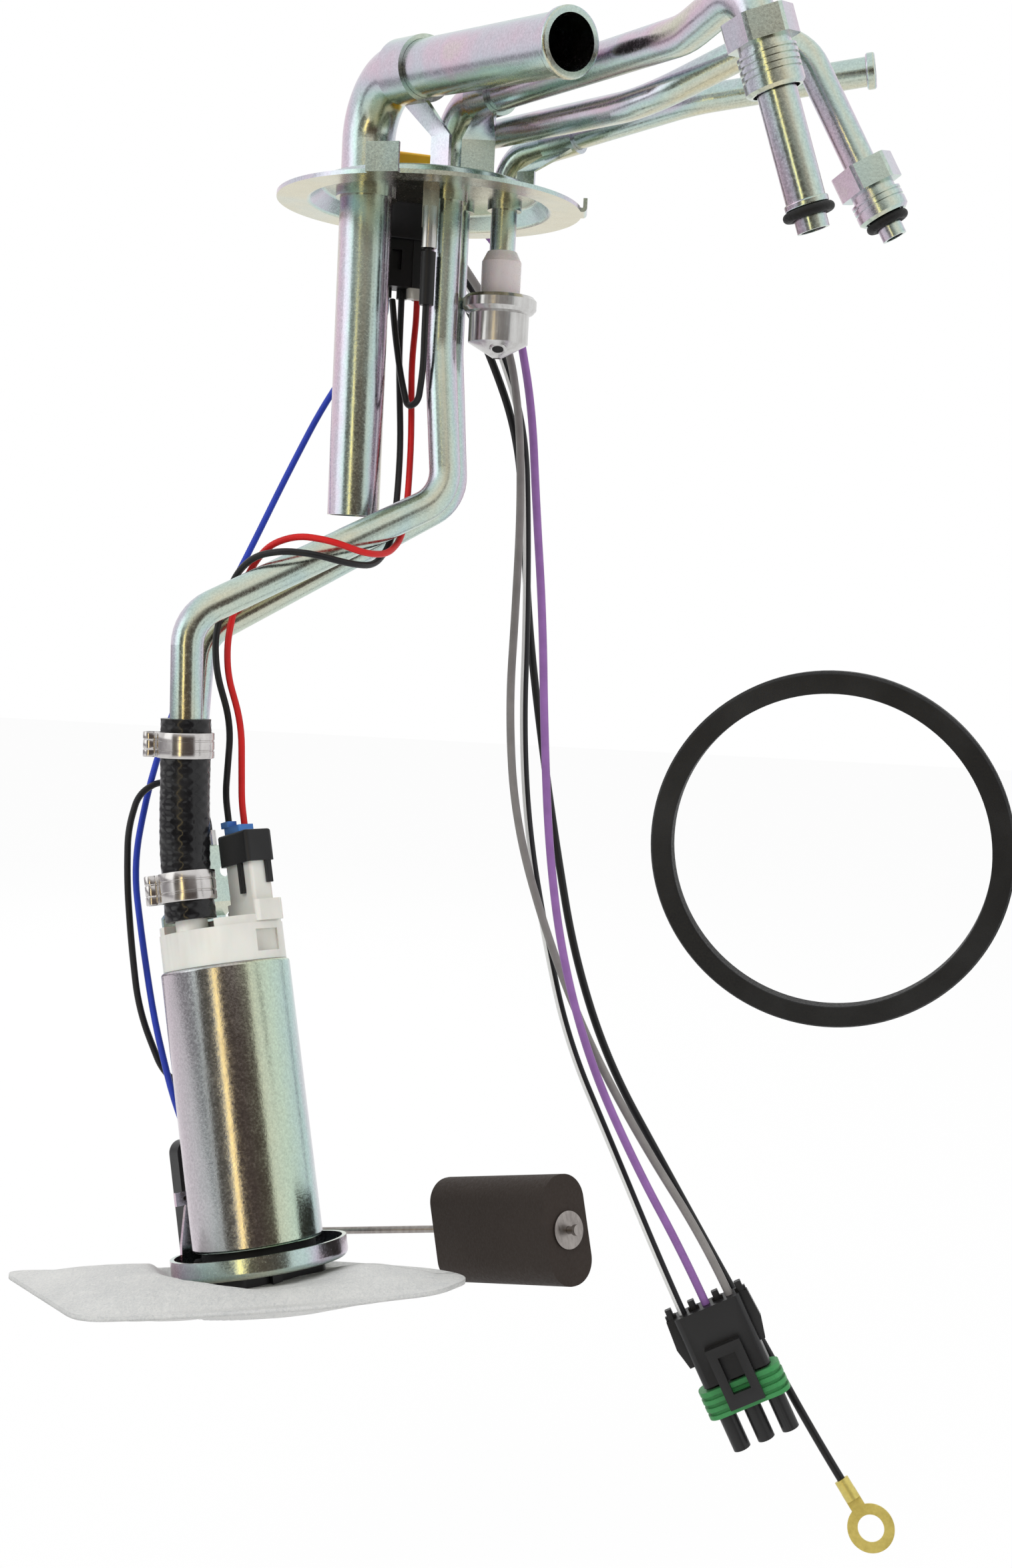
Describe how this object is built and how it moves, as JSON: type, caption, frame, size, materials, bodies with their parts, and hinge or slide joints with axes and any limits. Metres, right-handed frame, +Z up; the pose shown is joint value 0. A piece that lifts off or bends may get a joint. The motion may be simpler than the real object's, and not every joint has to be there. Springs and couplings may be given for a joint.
{
  "type": "fuel pump module",
  "caption": "In-tank fuel pump module: steel flange with bent lines, pump on a strap, strainer sock, level float, wiring harness and a loose tank seal.",
  "frame": {"origin": "centre of the flat face under the flange rim, which seats on the tank", "axes": "+Z up along the flange axis, out of the tank; -Y towards the side that the fuel lines leave; +X to the side of the small vapour line"},
  "size_m": [0.2719, 0.2006, 0.4581],
  "materials": {
    "zinc_plating": "iridescent zinc plating, satin",
    "bare_steel": "bare drawn steel",
    "stainless": "bright stainless band",
    "brass": "plain brass",
    "can_plating": "iridescent zinc plating on the can",
    "white_moulding": "moulded, slightly glossy",
    "milky_moulding": "milky, slightly translucent",
    "tinned_steel": "bright tin plating",
    "black_moulding": "moulded, satin",
    "orange_moulding": "moulded, satin",
    "clear_moulding": "translucent",
    "blue_moulding": "moulded, satin",
    "black_rubber": "matt rubber",
    "green_rubber": "matt silicone rubber",
    "hose_braid": "braided cover",
    "float_foam": "closed-cell foam, matt",
    "sock_felt": "fibrous felt",
    "purple_sleeve": "wire insulation",
    "grey_sleeve": "wire insulation",
    "striped_sleeve": "wire insulation with a white line",
    "black_sleeve": "wire insulation",
    "red_sleeve": "wire insulation",
    "blue_sleeve": "wire insulation",
    "inner_steel": "turned steel",
    "winding": "lacquered windings",
    "magnet": "sintered ferrite",
    "casting": "die casting",
    "carbon": "carbon",
    "impeller_moulding": "phenolic moulding",
    "card": "ceramic card with resistor track"
  },
  "bodies": {
    "module": {"flange_plate": "zinc_plating", "vent_tube": "zinc_plating", "supply_tube": "zinc_plating", "return_tube": "zinc_plating", "evap_tube": "zinc_plating", "vent_bracket": "zinc_plating", "line_bracket": "zinc_plating", "evap_bracket": "zinc_plating", "supply_o_ring": "black_rubber", "return_o_ring": "black_rubber", "bulkhead_connector": "orange_moulding", "sender_plug": "black_moulding", "sender_plug_lock": "clear_moulding", "valve_body": "milky_moulding", "valve_cup": "tinned_steel", "ground_terminal": "tinned_steel", "flange_ground_wire": "black_sleeve", "fuel_hose": "hose_braid", "upper_hose_clamp": "stainless", "lower_hose_clamp": "stainless", "pump_can": "can_plating", "pump_cap": "white_moulding", "relief_valve": "tinned_steel", "field_magnets": "magnet", "pump_chamber": "casting", "inlet_cover": "casting", "brushes": "carbon", "pump_plug": "black_moulding", "pump_plug_lock": "blue_moulding", "pump_bracket": "zinc_plating", "pump_isolator": "black_rubber", "strainer_frame": "black_moulding", "strainer_sock": "sock_felt", "sender_body": "black_moulding", "resistor_card": "card", "bracket_terminal": "tinned_steel", "red_wire": "red_sleeve", "black_wire": "black_sleeve", "blue_wire": "blue_sleeve", "sender_ground_wire": "black_sleeve", "purple_lead": "purple_sleeve", "grey_lead": "grey_sleeve", "striped_lead": "striped_sleeve", "ground_lead": "black_sleeve", "harness_connector": "black_moulding", "connector_seal": "green_rubber", "ring_terminal": "brass", "tank_seal": "black_rubber"},
    "float": {"float_arm": "bare_steel", "float_block": "float_foam", "float_retainer": "bare_steel", "wiper": "black_moulding"},
    "rotor": {"armature": "winding", "rotor_shaft": "inner_steel", "impeller": "impeller_moulding"},
    "supply_nut": {"supply_nut": "zinc_plating"},
    "return_nut": {"return_nut": "zinc_plating"},
    "valve_ball": {"valve_ball": "inner_steel"},
    "outlet_valve": {"outlet_valve": "white_moulding"}
  },
  "joints": [
    {"name": "float_arm_swing", "type": "hinge", "parent": "module", "child": "float", "pos_m": [-0.05221, -0.02565, -0.31413], "axis": [0.6261, -0.7209, 0.2972], "range_deg": [0, 50]},
    {"name": "rotor_spin", "type": "hinge", "parent": "module", "child": "rotor", "pos_m": [-0.0334, -0.0473, -0.3052], "axis": [-0.1883, 0.2301, 0.9548], "continuous": true},
    {"name": "supply_nut_slide", "type": "slide", "parent": "module", "child": "supply_nut", "axis": [0.3362, 0.0381, -0.941], "range_m": [0, 0.025]},
    {"name": "return_nut_slide", "type": "slide", "parent": "module", "child": "return_nut", "axis": [-0.4877, 0.061, 0.8709], "range_m": [0, 0.016]},
    {"name": "valve_ball_lift", "type": "slide", "parent": "module", "child": "valve_ball", "axis": [0, 0, 1], "range_m": [0, 0.004]},
    {"name": "outlet_valve_lift", "type": "slide", "parent": "module", "child": "outlet_valve", "axis": [-0.1883, 0.2301, 0.9548], "range_m": [0, 0.002]}
  ]
}
